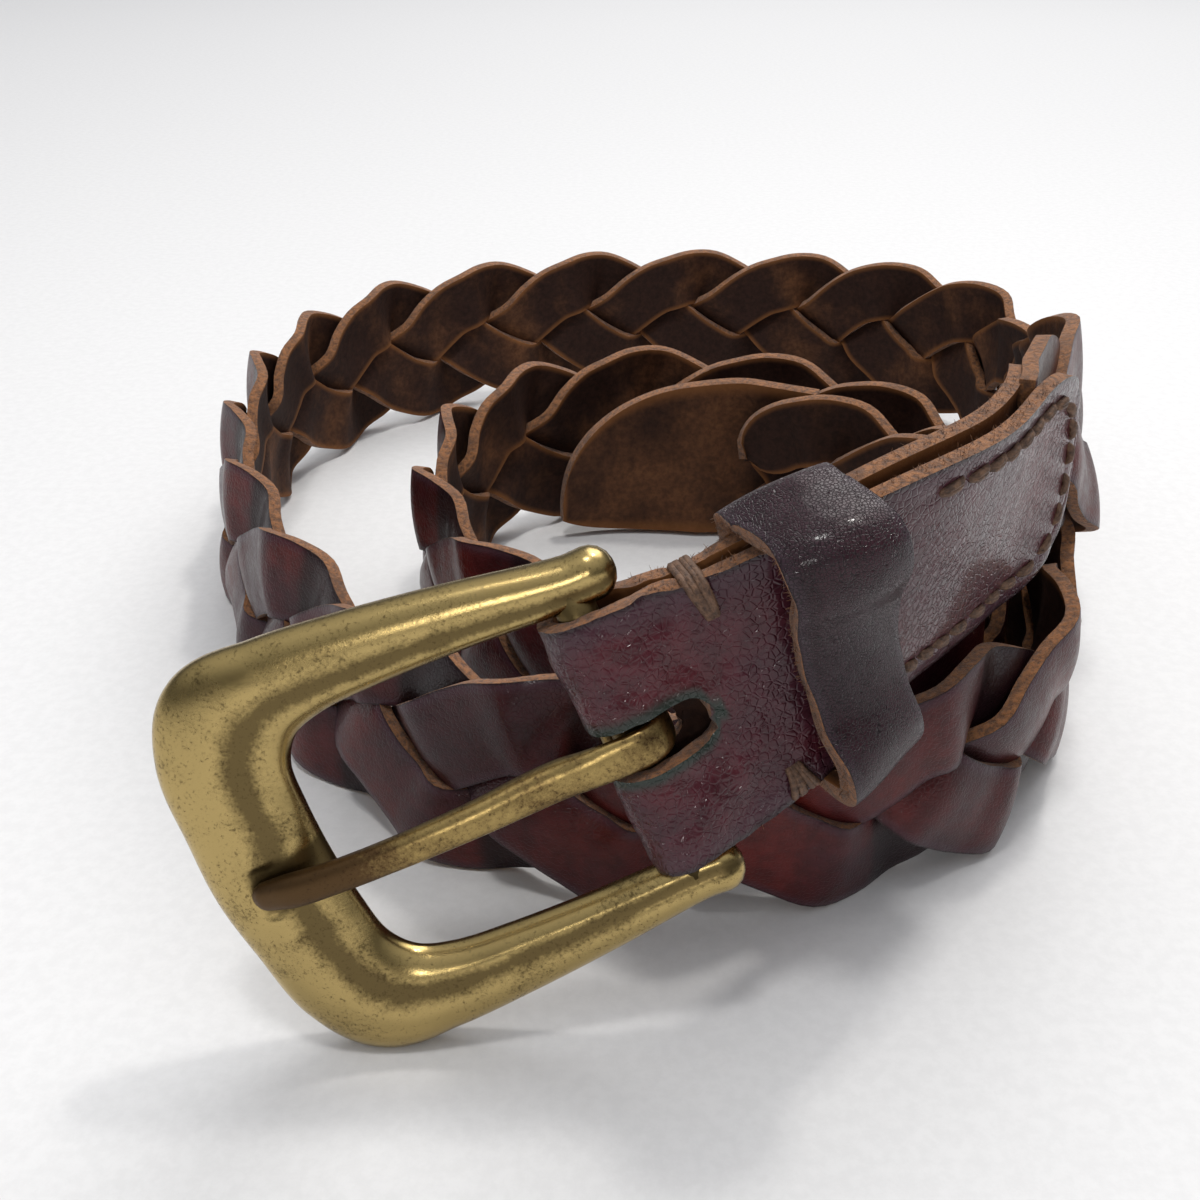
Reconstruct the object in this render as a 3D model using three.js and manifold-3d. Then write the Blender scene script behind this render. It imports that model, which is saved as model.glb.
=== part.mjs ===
// A braided leather belt with a solid brass buckle, coiled on its edge in two and a half turns.
// Along the belt: buckle, leather tab folded round the buckle's bar, braid of three straps, tail tip.
import * as THREE from 'three';
import Module from 'manifold-3d';
import { mergeVertices } from 'three/addons/utils/BufferGeometryUtils.js';

const wasm = await Module();
wasm.setup();

// Belt and braid, in millimetres
const beltWidth = 32;
const strapThickness = 2.4;
const strapEdge = 1.2; // thickness left along a strap's pared edges
const touchGap = 0.3; // left between pieces that touch
const coilWidth = 160; // size of the coil that the course below is drawn in
const coilDepth = 200;

// Leather tab that is folded round the bar
const tabLength = 75; // bar to rounded end
const tabWidth = 30;
const tabLayer = 1.8;
const tabRound = 13; // length of the rounded end
const slotWidth = 6; // slot that lets the prong through the fold
const slotFront = 9; // how far the slot runs past the bar on the outer layer
const slotBack = 6;
const foldTaper = 9; // length over which the layers close behind the bar
const mouthLength = 17; // length over which they open again for the woven straps

// Keeper loop round the tab
const keeperWidth = 13;
const keeperThickness = 2.2;
const keeperGap = 0.6; // between the keeper and the tab, so that it slides
const keeperPlace = 20; // bar to the keeper's near edge
const keeperRise = 3.6; // how far the keeper stands off the tab at its shoulders
const keeperDip = 2.6; // how much of that is lost in the middle

// Brass buckle
const barRadius = 2.2;
const turnGap = 0.4; // running clearance round the bar
const armGap = 0.7; // between the tab's edge and the buckle's arm
const frameReach = 42.6; // bar to the middle of the front bar
const frameFlare = 2.4; // how much further apart the arms are in front than at the bar
const armWidth = 5.8;
const armThickness = 5.2;
const frontWidth = 14;
const frontThickness = 6.4;
const armPast = 3; // how far the arms run past the bar
const buckleDrop = 6; // degrees that the buckle hangs back from the tab's line
const prongWidth = 4.4;
const prongThickness = 3.2;
const prongWall = 1.8; // wall of the eye that grips the bar

// Tail tip
const tipLength = 36;
const tipThickness = 2.8;

const strapWidth = beltWidth * 0.37; // three straps plaited to the belt's width
const swing = (beltWidth - strapWidth) / 2; // how far a strap's middle swings from the belt's middle line
const laneWidth = beltWidth / 3 - 2 * touchGap; // a strap's width where the three lie side by side
const laneRun = 0.5; // lobes over which the straps come out of their lanes
const laneThin = 0.5; // share of their thickness that the straps keep in the tab
const thinRun = 1; // lobes over which they reach full thickness
const strapsInBraid = 3;
const stationsPerLobe = 6;
const stationsPerTurn = strapsInBraid * stationsPerLobe;
const firstLobe = 1 / stationsPerLobe; // where the weave starts and ends, counted in lobes from the tab's end
const lastLobe = 36 + 1 / stationsPerLobe;

// The belt's course from the buckle's bar to its tail, seen from above, anticlockwise.
// x and y are shares of the coil's width and depth from its middle, and lift is a share of the belt's width
// above its place on the table. lean is how many degrees the top edge tips inwards, and lobe counts the
// braid's lobes from the tab's rounded end.
const courseRows = [
  { x: -0.052, y: -0.526, lift: 0.649, lean: 14, lobe: -2.66 },
  { x: 0.029, y: -0.51, lift: 0.802, lean: 8, lobe: -2.11 },
  { x: 0.121, y: -0.479, lift: 1.038, lean: -3, lobe: -1.41 },
  { x: 0.216, y: -0.403, lift: 1.056, lean: -6, lobe: -0.67 },
  { x: 0.322, y: -0.273, lift: 1.04, lean: 6, lobe: 0.44 },
  { x: 0.384, y: -0.17, lift: 0.849, lean: 19, lobe: 1.3 },
  { x: 0.434, y: -0.04, lift: 0.475, lean: 17, lobe: 2.4 },
  { x: 0.469, y: 0.12, lift: 0.121, lean: 6, lobe: 3.67 },
  { x: 0.466, y: 0.31, lift: 0.06, lean: 0, lobe: 5 },
  { x: 0.286, y: 0.45, lift: 0, lean: 0, lobe: 6.7 },
  { x: -0.055, y: 0.463, lift: 0, lean: 0, lobe: 8.85 },
  { x: -0.345, y: 0.35, lift: 0, lean: 0, lobe: 10.85 },
  { x: -0.46, y: 0.2, lift: 0, lean: 3, lobe: 12.25 },
  { x: -0.47, y: 0, lift: 0, lean: 6, lobe: 13.85 },
  { x: -0.41, y: -0.16, lift: 0, lean: 8, lobe: 15.15 },
  { x: -0.298, y: -0.312, lift: 0, lean: 8, lobe: 16.45 },
  { x: -0.145, y: -0.42, lift: 0, lean: 4, lobe: 17.65 },
  { x: 0.045, y: -0.45, lift: 0, lean: 0, lobe: 18.85 },
  { x: 0.208, y: -0.425, lift: 0, lean: 0, lobe: 19.85 },
  { x: 0.325, y: -0.345, lift: 0, lean: 0, lobe: 20.8 },
  { x: 0.372, y: -0.222, lift: 0, lean: 4, lobe: 21.8 },
  { x: 0.35, y: -0.075, lift: 0, lean: 2, lobe: 22.95 },
  { x: 0.265, y: 0.05, lift: 0, lean: 0, lobe: 24.1 },
  { x: 0.12, y: 0.128, lift: 0, lean: 0, lobe: 25.2 },
  { x: -0.06, y: 0.13, lift: 0, lean: 0, lobe: 26.3 },
  { x: -0.195, y: 0.035, lift: 0, lean: 0, lobe: 27.45 },
  { x: -0.23, y: -0.12, lift: 0, lean: 0, lobe: 28.7 },
  { x: -0.15, y: -0.265, lift: 0, lean: 0, lobe: 29.95 },
  { x: 0, y: -0.36, lift: 0, lean: 0, lobe: 31.15 },
  { x: 0.15, y: -0.38, lift: 0, lean: 0, lobe: 32.1 },
  { x: 0.272, y: -0.31, lift: 0, lean: 0, lobe: 33.05 },
  { x: 0.32, y: -0.19, lift: 0, lean: 0, lobe: 34.05 },
  { x: 0.285, y: -0.06, lift: 0, lean: 0, lobe: 35.2 },
  { x: 0.195, y: 0.022, lift: 0, lean: 0, lobe: 36.1 },
  { x: 0.085, y: 0.06, lift: 0, lean: 0, lobe: 36.9 },
  { x: -0.03, y: 0.07, lift: 0, lean: 0, lobe: 37.65 },
  { x: -0.13, y: 0.052, lift: 0, lean: 0, lobe: 38.35 },
];

// A strap's place in the weave at each step of the first quarter of its wave, as shares of its thickness:
// out is its distance from the belt's middle face, tilt how much further out its upper edge lies.
const weaveRows = [
  { out: 0, tilt: 0 },
  { out: 0.94, tilt: 0 },
  { out: 0.475, tilt: 0.008 },
  { out: 0.575, tilt: -0.025 },
  { out: 0.633, tilt: 0.308 },
];

// Half of the buckle's frame, from the middle of the front bar to an arm's end. across and along are shares
// of the corner's place and of the reach, and width and thickness shares of the way from arm to front bar.
const frameRows = [
  { across: 0, along: 1, width: 1, thickness: 1 },
  { across: 0.35, along: 0.985, width: 1, thickness: 1 },
  { across: 0.72, along: 0.965, width: 0.95, thickness: 0.9 },
  { across: 0.95, along: 0.91, width: 0.78, thickness: 0.75 },
  { across: 1, along: 0.76, width: 0.55, thickness: 0.55 },
  { across: 1, along: 0.55, width: 0.35, thickness: 0.35 },
  { across: 0.985, along: 0.28, width: 0.15, thickness: 0.15 },
  { across: 0.95, along: 0, width: 0, thickness: 0 },
];

// The prong from its eye to its tip: along is a share of the reach, rise and size shares of its thickness
const prongRows = [
  { along: 0.08, rise: 0.35, size: 1 },
  { along: 0.22, rise: 0.95, size: 0.98 },
  { along: 0.42, rise: 1.4, size: 0.9 },
  { along: 0.64, rise: 1.62, size: 0.84 },
  { along: 0.82, rise: 1.6, size: 0.84 },
  { along: 0.93, rise: 1.4, size: 0.88 },
  { along: 1, rise: 1.15, size: 0.76 },
];

const up = new THREE.Vector3(0, 0, 1);

function mix(a, b, share) {
  return a + (b - a) * share;
}

function smooth(value) {
  const share = Math.min(1, Math.max(0, value));
  return share * share * (3 - 2 * share);
}

// The course as closely spaced samples of place, direction, lean and lobe along its length
function makeCourse() {
  const places = courseRows.map((row) => {
    const restHeight = (beltWidth / 2) * Math.cos(THREE.MathUtils.degToRad(row.lean));
    return new THREE.Vector3(row.x * coilWidth, row.y * coilDepth, restHeight + row.lift * beltWidth);
  });
  const line = new THREE.CatmullRomCurve3(places, false, 'centripetal');
  const traits = new THREE.CatmullRomCurve3(
    courseRows.map((row) => new THREE.Vector3(row.lean, row.lobe, 0)), false, 'catmullrom', 0.5);
  const samples = [];
  const count = courseRows.length * 40;
  let arc = 0;
  for (let index = 0; index <= count; index += 1) {
    const share = index / count;
    const point = line.getPoint(share);
    if (index > 0) {
      arc += point.distanceTo(samples[index - 1].point);
    }
    const trait = traits.getPoint(share);
    samples.push({ arc, point, tangent: line.getTangent(share), lean: trait.x, lobe: trait.y });
  }
  return samples;
}

const course = makeCourse();

function sampleBetween(key, value) {
  let low = 0;
  let high = course.length - 1;
  while (high - low > 1) {
    const middle = (low + high) >> 1;
    if (course[middle][key] > value) {
      high = middle;
    } else {
      low = middle;
    }
  }
  const share = (value - course[low][key]) / (course[high][key] - course[low][key]);
  return { from: course[low], to: course[high], share };
}

function arcAtLobe(lobe) {
  const { from, to, share } = sampleBetween('lobe', lobe);
  return mix(from.arc, to.arc, share);
}

// The point of the belt at a distance along its course, above its middle line and out from the coil
function place(arc, above, out) {
  const { from, to, share } = sampleBetween('arc', arc);
  const inside = Math.min(1, Math.max(0, share));
  const along = from.tangent.clone().lerp(to.tangent, inside).normalize();
  const upright = up.clone().addScaledVector(along, -along.z).normalize();
  const side = along.clone().cross(upright);
  const lean = THREE.MathUtils.degToRad(mix(from.lean, to.lean, inside));
  const rise = upright.clone().multiplyScalar(Math.cos(lean)).addScaledVector(side, -Math.sin(lean));
  const outward = side.multiplyScalar(Math.cos(lean)).addScaledVector(upright, Math.sin(lean));
  const point = from.point.clone().lerp(to.point, share);
  point.addScaledVector(rise, above).addScaledVector(outward, out);
  return { point, along, rise, outward };
}

// Closed body through a row of rings, each with the same number of points, or round a closed loop of them
function bodyThroughRings(rings, looped = false) {
  const size = rings[0].length;
  const points = rings.flat();
  const faces = [];
  const spans = looped ? rings.length : rings.length - 1;
  for (let ring = 0; ring < spans; ring += 1) {
    const next = ((ring + 1) % rings.length) * size;
    for (let side = 0; side < size; side += 1) {
      const after = (side + 1) % size;
      const a = ring * size + side;
      const b = ring * size + after;
      faces.push(a, b, next + after, a, next + after, next + side);
    }
  }
  const last = (rings.length - 1) * size;
  for (let side = 1; side < size - 1 && !looped; side += 1) {
    faces.push(0, side + 1, side, last, last + side, last + side + 1);
  }
  const geometry = new THREE.BufferGeometry();
  geometry.setAttribute('position', new THREE.Float32BufferAttribute(points.flatMap((p) => p.toArray()), 3));
  geometry.setIndex(faces);
  return faceOutwards(geometry);
}

function faceOutwards(geometry) {
  const position = geometry.getAttribute('position');
  const index = geometry.getIndex().array;
  const corners = [new THREE.Vector3(), new THREE.Vector3(), new THREE.Vector3()];
  let volume = 0;
  for (let face = 0; face < index.length; face += 3) {
    corners.forEach((corner, side) => corner.fromBufferAttribute(position, index[face + side]));
    volume += corners[0].dot(corners[1].clone().cross(corners[2]));
  }
  if (volume < 0) {
    for (let face = 0; face < index.length; face += 3) {
      [index[face], index[face + 1]] = [index[face + 1], index[face]];
    }
  }
  return geometry;
}

function toSolid(geometry) {
  const bare = geometry.clone();
  bare.deleteAttribute('normal');
  bare.deleteAttribute('uv');
  const merged = faceOutwards(mergeVertices(bare, 1e-4));
  return new wasm.Manifold(new wasm.Mesh({
    numProp: 3,
    vertProperties: new Float32Array(merged.getAttribute('position').array),
    triVerts: new Uint32Array(merged.getIndex().array),
  }));
}

function toGeometry(solid) {
  const mesh = solid.getMesh();
  const geometry = new THREE.BufferGeometry();
  geometry.setAttribute('position', new THREE.BufferAttribute(new Float32Array(mesh.vertProperties), 3));
  geometry.setIndex(new THREE.BufferAttribute(new Uint32Array(mesh.triVerts), 1));
  return geometry;
}

function leather(name, geometry, colour, roughness) {
  const mesh = new THREE.Mesh(geometry, new THREE.MeshStandardMaterial({ color: colour, roughness, metalness: 0 }));
  mesh.name = name;
  return mesh;
}

function brass(name, geometry, colour) {
  const material = new THREE.MeshStandardMaterial({ color: colour, roughness: 0.35, metalness: 1 });
  const mesh = new THREE.Mesh(geometry, material);
  mesh.name = name;
  return mesh;
}

// The weave at a whole station of a strap's wave, from the quarter wave that the table holds
function weaveAt(station) {
  const half = stationsPerTurn / 2;
  const turn = ((station % stationsPerTurn) + stationsPerTurn) % stationsPerTurn;
  const step = turn % half;
  const falling = step > half / 2;
  const row = weaveRows[falling ? half - step : step];
  return { out: falling ? -row.out : row.out, tilt: turn >= half ? -row.tilt : row.tilt };
}

// One strap: it swings from edge to edge, over its neighbour on the way in and under on the way out
function makeStrap(number) {
  const firstStation = Math.round((firstLobe - laneRun) * stationsPerLobe);
  const lastStation = Math.round((lastLobe + laneRun) * stationsPerLobe);
  const laneStart = Math.cos((2 * Math.PI * (firstLobe + number)) / strapsInBraid);
  const laneEnd = Math.cos((2 * Math.PI * (lastLobe + number)) / strapsInBraid);
  const halfWay = (firstLobe + lastLobe) / 2;
  const rings = [];
  for (let station = firstStation; station <= lastStation; station += 1) {
    const lobe = station / stationsPerLobe;
    const woven = Math.min(lastLobe, Math.max(firstLobe, lobe));
    const angle = (2 * Math.PI * (woven + number)) / strapsInBraid;
    const inWeave = smooth(1 - Math.abs(lobe - woven) / laneRun);
    const lane = Math.round(lobe < halfWay ? laneStart : laneEnd) * (beltWidth / 3);
    const arc = arcAtLobe(lobe);
    const pitch = arcAtLobe(lobe + 0.5) - arcAtLobe(lobe - 0.5);
    const climb = woven === lobe ? (-swing * Math.sin(angle) * 2 * Math.PI) / strapsInBraid : 0;
    const slant = Math.atan2(climb, pitch);
    const above = mix(lane, swing * Math.cos(angle), inWeave);
    const width = mix(laneWidth, strapWidth, inWeave);
    const fullness = mix(laneThin, 1, smooth((lobe - firstLobe) / thinRun));
    const weave = weaveAt(Math.round(woven * stationsPerLobe) + number * stationsPerLobe);
    const lifted = -strapThickness * fullness * Math.min(1, 3 * inWeave);
    const out = weave.out * lifted;
    const tilt = weave.tilt * lifted;
    const section = [
      [-0.5, -strapEdge], [0, -strapThickness], [0.5, -strapEdge],
      [0.5, strapEdge], [0, strapThickness], [-0.5, strapEdge],
    ];
    rings.push(section.map(([across, thickness]) => place(
      arc - Math.sin(slant) * across * width,
      above + Math.cos(slant) * across * width,
      out + 2 * across * tilt + (thickness / 2) * fullness,
    ).point));
  }
  return bodyThroughRings(rings);
}

// The tail's tip: one leaf of leather whose top edge sweeps down to a rounded end near the table
function makeTailTip() {
  const start = arcAtLobe(Math.round((lastLobe + laneRun) * stationsPerLobe) / stationsPerLobe) + touchGap;
  const shares = [0, 0.15, 0.3, 0.45, 0.6, 0.73, 0.84, 0.92, 0.97, 1];
  const rings = shares.map((share) => {
    const height = beltWidth * Math.pow(1 - Math.pow(share, 2.3) * 0.995, 1 / 2.3);
    const bottom = -beltWidth / 2 + beltWidth * 0.1 * Math.pow(share, 6);
    const top = Math.max(bottom + beltWidth * 0.08, bottom + height * 0.985);
    const middle = (top + bottom) / 2;
    return [
      [bottom, -strapEdge], [middle, -tipThickness], [top, -strapEdge],
      [top, strapEdge], [middle, tipThickness], [bottom, strapEdge],
    ].map(([above, thickness]) => place(start + share * tipLength, above, thickness / 2).point);
  });
  return bodyThroughRings(rings);
}

const tabEnd = arcAtLobe(firstLobe) + 1;
const barArc = tabEnd - tabLength;
const foldInner = barRadius + turnGap;
const strapsInTab = strapThickness * laneThin;
const pocket = strapsInTab / 2 + touchGap;
const mouth = strapsInTab * (1 + weaveRows[1].out) + 2 * touchGap;

// Half the gap between the tab's two layers at a distance from the bar
function tabHalfGap(distance) {
  const closing = smooth(distance / foldTaper);
  const opening = smooth((distance - tabLength + mouthLength) / mouthLength);
  return mix(mix(foldInner, pocket, closing), mouth, opening);
}

function bend(geometry) {
  const position = geometry.getAttribute('position');
  for (let index = 0; index < position.count; index += 1) {
    const { point } = place(barArc + position.getX(index), position.getY(index), position.getZ(index));
    position.setXYZ(index, point.x, point.y, point.z);
  }
  return geometry;
}

// The folded strap, ring by ring: the front layer, round the bar, and the back layer
function makeFoldedStrip() {
  const steps = 26;
  const distances = Array.from({ length: steps + 1 }, (_, step) => (tabLength * step) / steps);
  const roundSteps = 8;
  const front = distances.map((x) => [x, tabHalfGap(x), x, tabHalfGap(x) + tabLayer]);
  const back = distances.map((x) => [x, -tabHalfGap(x), x, -tabHalfGap(x) - tabLayer]);
  const turn = [];
  for (let step = 1; step < roundSteps; step += 1) {
    const angle = Math.PI / 2 + (Math.PI * step) / roundSteps;
    const outer = foldInner + tabLayer;
    turn.push([
      Math.cos(angle) * foldInner, Math.sin(angle) * foldInner, Math.cos(angle) * outer, Math.sin(angle) * outer,
    ]);
  }
  const rings = [...front.reverse(), ...turn, ...back].map(([innerX, innerOut, outerX, outerOut]) => [
    [outerX, 1, outerOut], [outerX, 0, outerOut], [outerX, -1, outerOut],
    [innerX, -1, innerOut], [innerX, 0, innerOut], [innerX, 1, innerOut],
  ].map(([x, side, out]) => place(barArc + x, (side * tabWidth) / 2, out).point));
  return bodyThroughRings(rings);
}

// Box in the tab's own measures: along from the bar, across and out
function tabBlock(fromX, toX, halfAcross, fromOut, toOut) {
  const box = new THREE.BoxGeometry(toX - fromX, 2 * halfAcross, toOut - fromOut, 4, 1, 1);
  box.translate((fromX + toX) / 2, 0, (fromOut + toOut) / 2);
  return toSolid(bend(box));
}

function makeTab() {
  let tab = toSolid(makeFoldedStrip());
  const reach = foldInner + tabLayer + 1;
  const beyondEnd = new THREE.Shape();
  const squareRun = tabLength - tabRound;
  beyondEnd.moveTo(squareRun, -tabWidth);
  beyondEnd.lineTo(squareRun, -tabWidth / 2);
  const arcSteps = 12;
  for (let step = 1; step < arcSteps; step += 1) {
    const angle = -Math.PI / 2 + (Math.PI * step) / arcSteps;
    const across = Math.sign(Math.sin(angle)) * Math.pow(Math.abs(Math.sin(angle)), 0.85);
    beyondEnd.lineTo(squareRun + tabRound * Math.pow(Math.cos(angle), 0.8), (tabWidth / 2) * across);
  }
  beyondEnd.lineTo(squareRun, tabWidth / 2);
  beyondEnd.lineTo(squareRun, tabWidth);
  beyondEnd.lineTo(tabLength + reach, tabWidth);
  beyondEnd.lineTo(tabLength + reach, -tabWidth);
  const corners = new THREE.ExtrudeGeometry(beyondEnd, { depth: 4 * reach, bevelEnabled: false });
  corners.translate(0, 0, -2 * reach);
  tab = tab.subtract(toSolid(bend(corners)));
  tab = tab.subtract(tabBlock(-reach, slotFront, slotWidth / 2, 0, reach));
  tab = tab.subtract(tabBlock(-reach, slotBack, slotWidth / 2, -reach, 0.5));
  return toGeometry(tab);
}

// The keeper: a closed band round the tab that stands off its face at both shoulders and dips between
function makeKeeper() {
  const face = tabHalfGap(keeperPlace + keeperWidth / 2) + tabLayer;
  const halfAcross = tabWidth / 2 + keeperGap + keeperThickness / 2;
  const back = -(face + keeperGap + keeperThickness / 2);
  const front = face + keeperGap + keeperThickness / 2;
  const rise = front + keeperRise;
  const bow = new THREE.CatmullRomCurve3([
    new THREE.Vector3(halfAcross, 0, 0),
    new THREE.Vector3(halfAcross * 0.96, mix(front, rise, 0.7), 0),
    new THREE.Vector3(halfAcross * 0.72, rise, 0),
    new THREE.Vector3(halfAcross * 0.36, rise - keeperDip * 0.75, 0),
    new THREE.Vector3(0, rise - keeperDip, 0),
    new THREE.Vector3(-halfAcross * 0.36, rise - keeperDip * 0.75, 0),
    new THREE.Vector3(-halfAcross * 0.72, rise, 0),
    new THREE.Vector3(-halfAcross * 0.96, mix(front, rise, 0.7), 0),
    new THREE.Vector3(-halfAcross, 0, 0),
    new THREE.Vector3(-halfAcross, -face, 0),
    new THREE.Vector3(-tabWidth / 2, back, 0),
    new THREE.Vector3(0, back, 0),
    new THREE.Vector3(tabWidth / 2, back, 0),
    new THREE.Vector3(halfAcross, -face, 0),
  ], true, 'centripetal');
  const centre = bow.getSpacedPoints(44).slice(0, -1);
  const rings = centre.map((point, index) => {
    const before = centre[(index + centre.length - 1) % centre.length];
    const after = centre[(index + 1) % centre.length];
    const normal = new THREE.Vector3(after.y - before.y, before.x - after.x, 0).normalize();
    const section = [[0, -0.5], [0.5, -0.5], [1, -0.5], [1, 0.5], [0.5, 0.5], [0, 0.5]];
    return section.map(([along, side]) => {
      const spot = point.clone().addScaledVector(normal, side * keeperThickness);
      return place(barArc + keeperPlace + along * keeperWidth, spot.x, spot.y).point;
    });
  });
  return bodyThroughRings(rings, true);
}

// Ring of points round a centre, in the plane of two directions, with its own half sizes
function ringAt(centre, sideways, sideHalf, upwards, upHalf, sides) {
  return Array.from({ length: sides }, (_, side) => {
    const angle = (2 * Math.PI * (side + 0.5)) / sides;
    return centre.clone()
      .addScaledVector(sideways, sideHalf * Math.cos(angle))
      .addScaledVector(upwards, upHalf * Math.sin(angle));
  });
}

// Rod through centres with half sizes, each ring square to the line, its ends drawn in to round them
function rodThrough(rows, sides) {
  const line = new THREE.CatmullRomCurve3(rows.map((row) => row.centre), false, 'centripetal');
  const sizes = new THREE.CatmullRomCurve3(
    rows.map((row) => new THREE.Vector3(row.sideHalf, row.upHalf, 0)), false, 'catmullrom', 0.5);
  const steps = (rows.length - 1) * 2;
  const rings = [];
  const ringFor = (share, shift, scale) => {
    const along = line.getTangent(share);
    const sideways = rows[0].flat.clone().cross(along).normalize();
    const upwards = along.clone().cross(sideways);
    const size = sizes.getPoint(share);
    const centre = line.getPoint(share).addScaledVector(along, shift * size.y);
    return ringAt(centre, sideways, size.x * scale, upwards, size.y * scale, sides);
  };
  rings.push(ringFor(0, -0.85, 0.4), ringFor(0, -0.5, 0.8));
  for (let step = 0; step <= steps; step += 1) {
    rings.push(ringFor(step / steps, 0, 1));
  }
  rings.push(ringFor(1, 0.5, 0.8), ringFor(1, 0.85, 0.4));
  return bodyThroughRings(rings);
}

const barHalf = tabWidth / 2 + armGap + armWidth / 2;

// The buckle's frame in its own measures: x across, y from the bar to the front bar, z out of its face
function makeFrame(prong) {
  const half = frameRows.map((row) => ({
    centre: new THREE.Vector3((barHalf + frameFlare) * row.across, frameReach * row.along, 0),
    sideHalf: mix(armWidth, frontWidth, row.width) / 2,
    upHalf: mix(armThickness, frontThickness, row.thickness) / 2,
    flat: up,
  }));
  const armEnd = { ...half.at(-1), centre: half.at(-1).centre.clone().setY(-armPast) };
  half.push(armEnd);
  const mirrored = half.slice(1).reverse().map((row) => (
    { ...row, centre: row.centre.clone().setX(-row.centre.x) }));
  const frame = toSolid(rodThrough([...mirrored, ...half], 12));
  const bar = new THREE.CylinderGeometry(barRadius, barRadius, 2 * barHalf, 12);
  bar.rotateZ(Math.PI / 2);
  return toGeometry(frame.add(toSolid(bar)).subtract(prong));
}

// The prong, or with some clearance the hollow that its tip lies in
function makeProng(clearance) {
  const rows = prongRows.map((row) => ({
    centre: new THREE.Vector3(0, frameReach * row.along, row.rise * prongThickness),
    sideHalf: (prongWidth * row.size) / 2 + clearance,
    upHalf: (prongThickness * row.size) / 2 + clearance,
    flat: up,
  }));
  return toSolid(rodThrough(rows, 10));
}

function makeProngWithEye() {
  const inner = barRadius + turnGap;
  const profile = [
    [inner, -prongWidth / 2], [inner + prongWall, -prongWidth / 2],
    [inner + prongWall, prongWidth / 2], [inner, prongWidth / 2], [inner, -prongWidth / 2],
  ].map(([x, y]) => new THREE.Vector2(x, y));
  const eye = new THREE.LatheGeometry(profile, 18);
  eye.rotateZ(Math.PI / 2);
  const bore = new THREE.CylinderGeometry(inner, inner, 2 * prongWidth, 18);
  bore.rotateZ(Math.PI / 2);
  return toGeometry(makeProng(0).add(toSolid(eye)).subtract(toSolid(bore)));
}

// Where the buckle hangs: its bar lies in the fold, across the belt
function hangBuckle(group) {
  const { point, along, rise, outward } = place(barArc, 0, 0);
  const drop = THREE.MathUtils.degToRad(buckleDrop);
  const forward = along.clone().multiplyScalar(-Math.cos(drop)).addScaledVector(outward, -Math.sin(drop));
  const face = rise.clone().cross(forward);
  group.matrix.makeBasis(rise, forward, face).setPosition(point);
  group.matrix.decompose(group.position, group.quaternion, group.scale);
  return group;
}

function makeBelt() {
  const belt = new THREE.Group();
  const names = ['strap_upper', 'strap_lower', 'strap_middle'];
  names.forEach((name, number) => {
    belt.add(leather(name, makeStrap(number), 0x4a2c2e, 0.5));
  });
  belt.add(leather('tail_tip', makeTailTip(), 0x5a3a2c, 0.7));
  belt.add(leather('tab', makeTab(), 0x52282c, 0.4));
  belt.add(leather('keeper', makeKeeper(), 0x3c2a30, 0.45));
  const buckle = hangBuckle(new THREE.Group());
  buckle.add(brass('buckle_frame', makeFrame(makeProng(touchGap)), 0xa58a45));
  buckle.add(brass('prong', makeProngWithEye(), 0x8a6e35));
  belt.add(buckle);
  return belt;
}

// The belt stands with the middle of its foot at the origin
function standOnOrigin(belt) {
  const whole = new THREE.Group();
  whole.add(belt);
  whole.updateMatrixWorld(true);
  const box = new THREE.Box3().setFromObject(belt, true);
  belt.position.set(-(box.min.x + box.max.x) / 2, -(box.min.y + box.max.y) / 2, -box.min.z);
  return whole;
}

export default standOnOrigin(makeBelt());
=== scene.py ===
# A braided leather belt with a brass buckle, coiled on its edge on a pale table.
import bpy
import math
import random
import numpy as np
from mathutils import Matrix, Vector, noise


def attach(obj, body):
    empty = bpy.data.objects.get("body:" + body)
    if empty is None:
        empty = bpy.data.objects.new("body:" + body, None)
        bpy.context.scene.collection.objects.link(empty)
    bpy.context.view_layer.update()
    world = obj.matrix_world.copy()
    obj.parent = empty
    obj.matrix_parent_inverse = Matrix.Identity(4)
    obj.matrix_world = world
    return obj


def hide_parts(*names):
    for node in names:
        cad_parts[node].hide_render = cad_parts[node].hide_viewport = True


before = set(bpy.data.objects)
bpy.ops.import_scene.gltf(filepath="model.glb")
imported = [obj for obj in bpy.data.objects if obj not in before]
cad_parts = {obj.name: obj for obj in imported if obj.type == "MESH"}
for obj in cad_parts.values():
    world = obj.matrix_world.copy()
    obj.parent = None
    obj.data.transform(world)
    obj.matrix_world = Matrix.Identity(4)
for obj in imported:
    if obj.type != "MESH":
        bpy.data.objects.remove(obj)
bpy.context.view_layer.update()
random.seed(11)

# The belt's course, in millimetres. Every piece below is placed along it.
belt = {
    "width": 32.0,
    "coil": (160.0, 200.0),            # the course rows are in shares of these
    "shift": (-0.088, 7.977, 0.932),   # from the middle of the coil to the model's origin
    "firstLobe": 1 / 6,                # where the weave starts and ends
    "lastLobe": 36 + 1 / 6,
    "laneRun": 0.5,                    # lobes over which the straps leave their lanes
}

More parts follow.
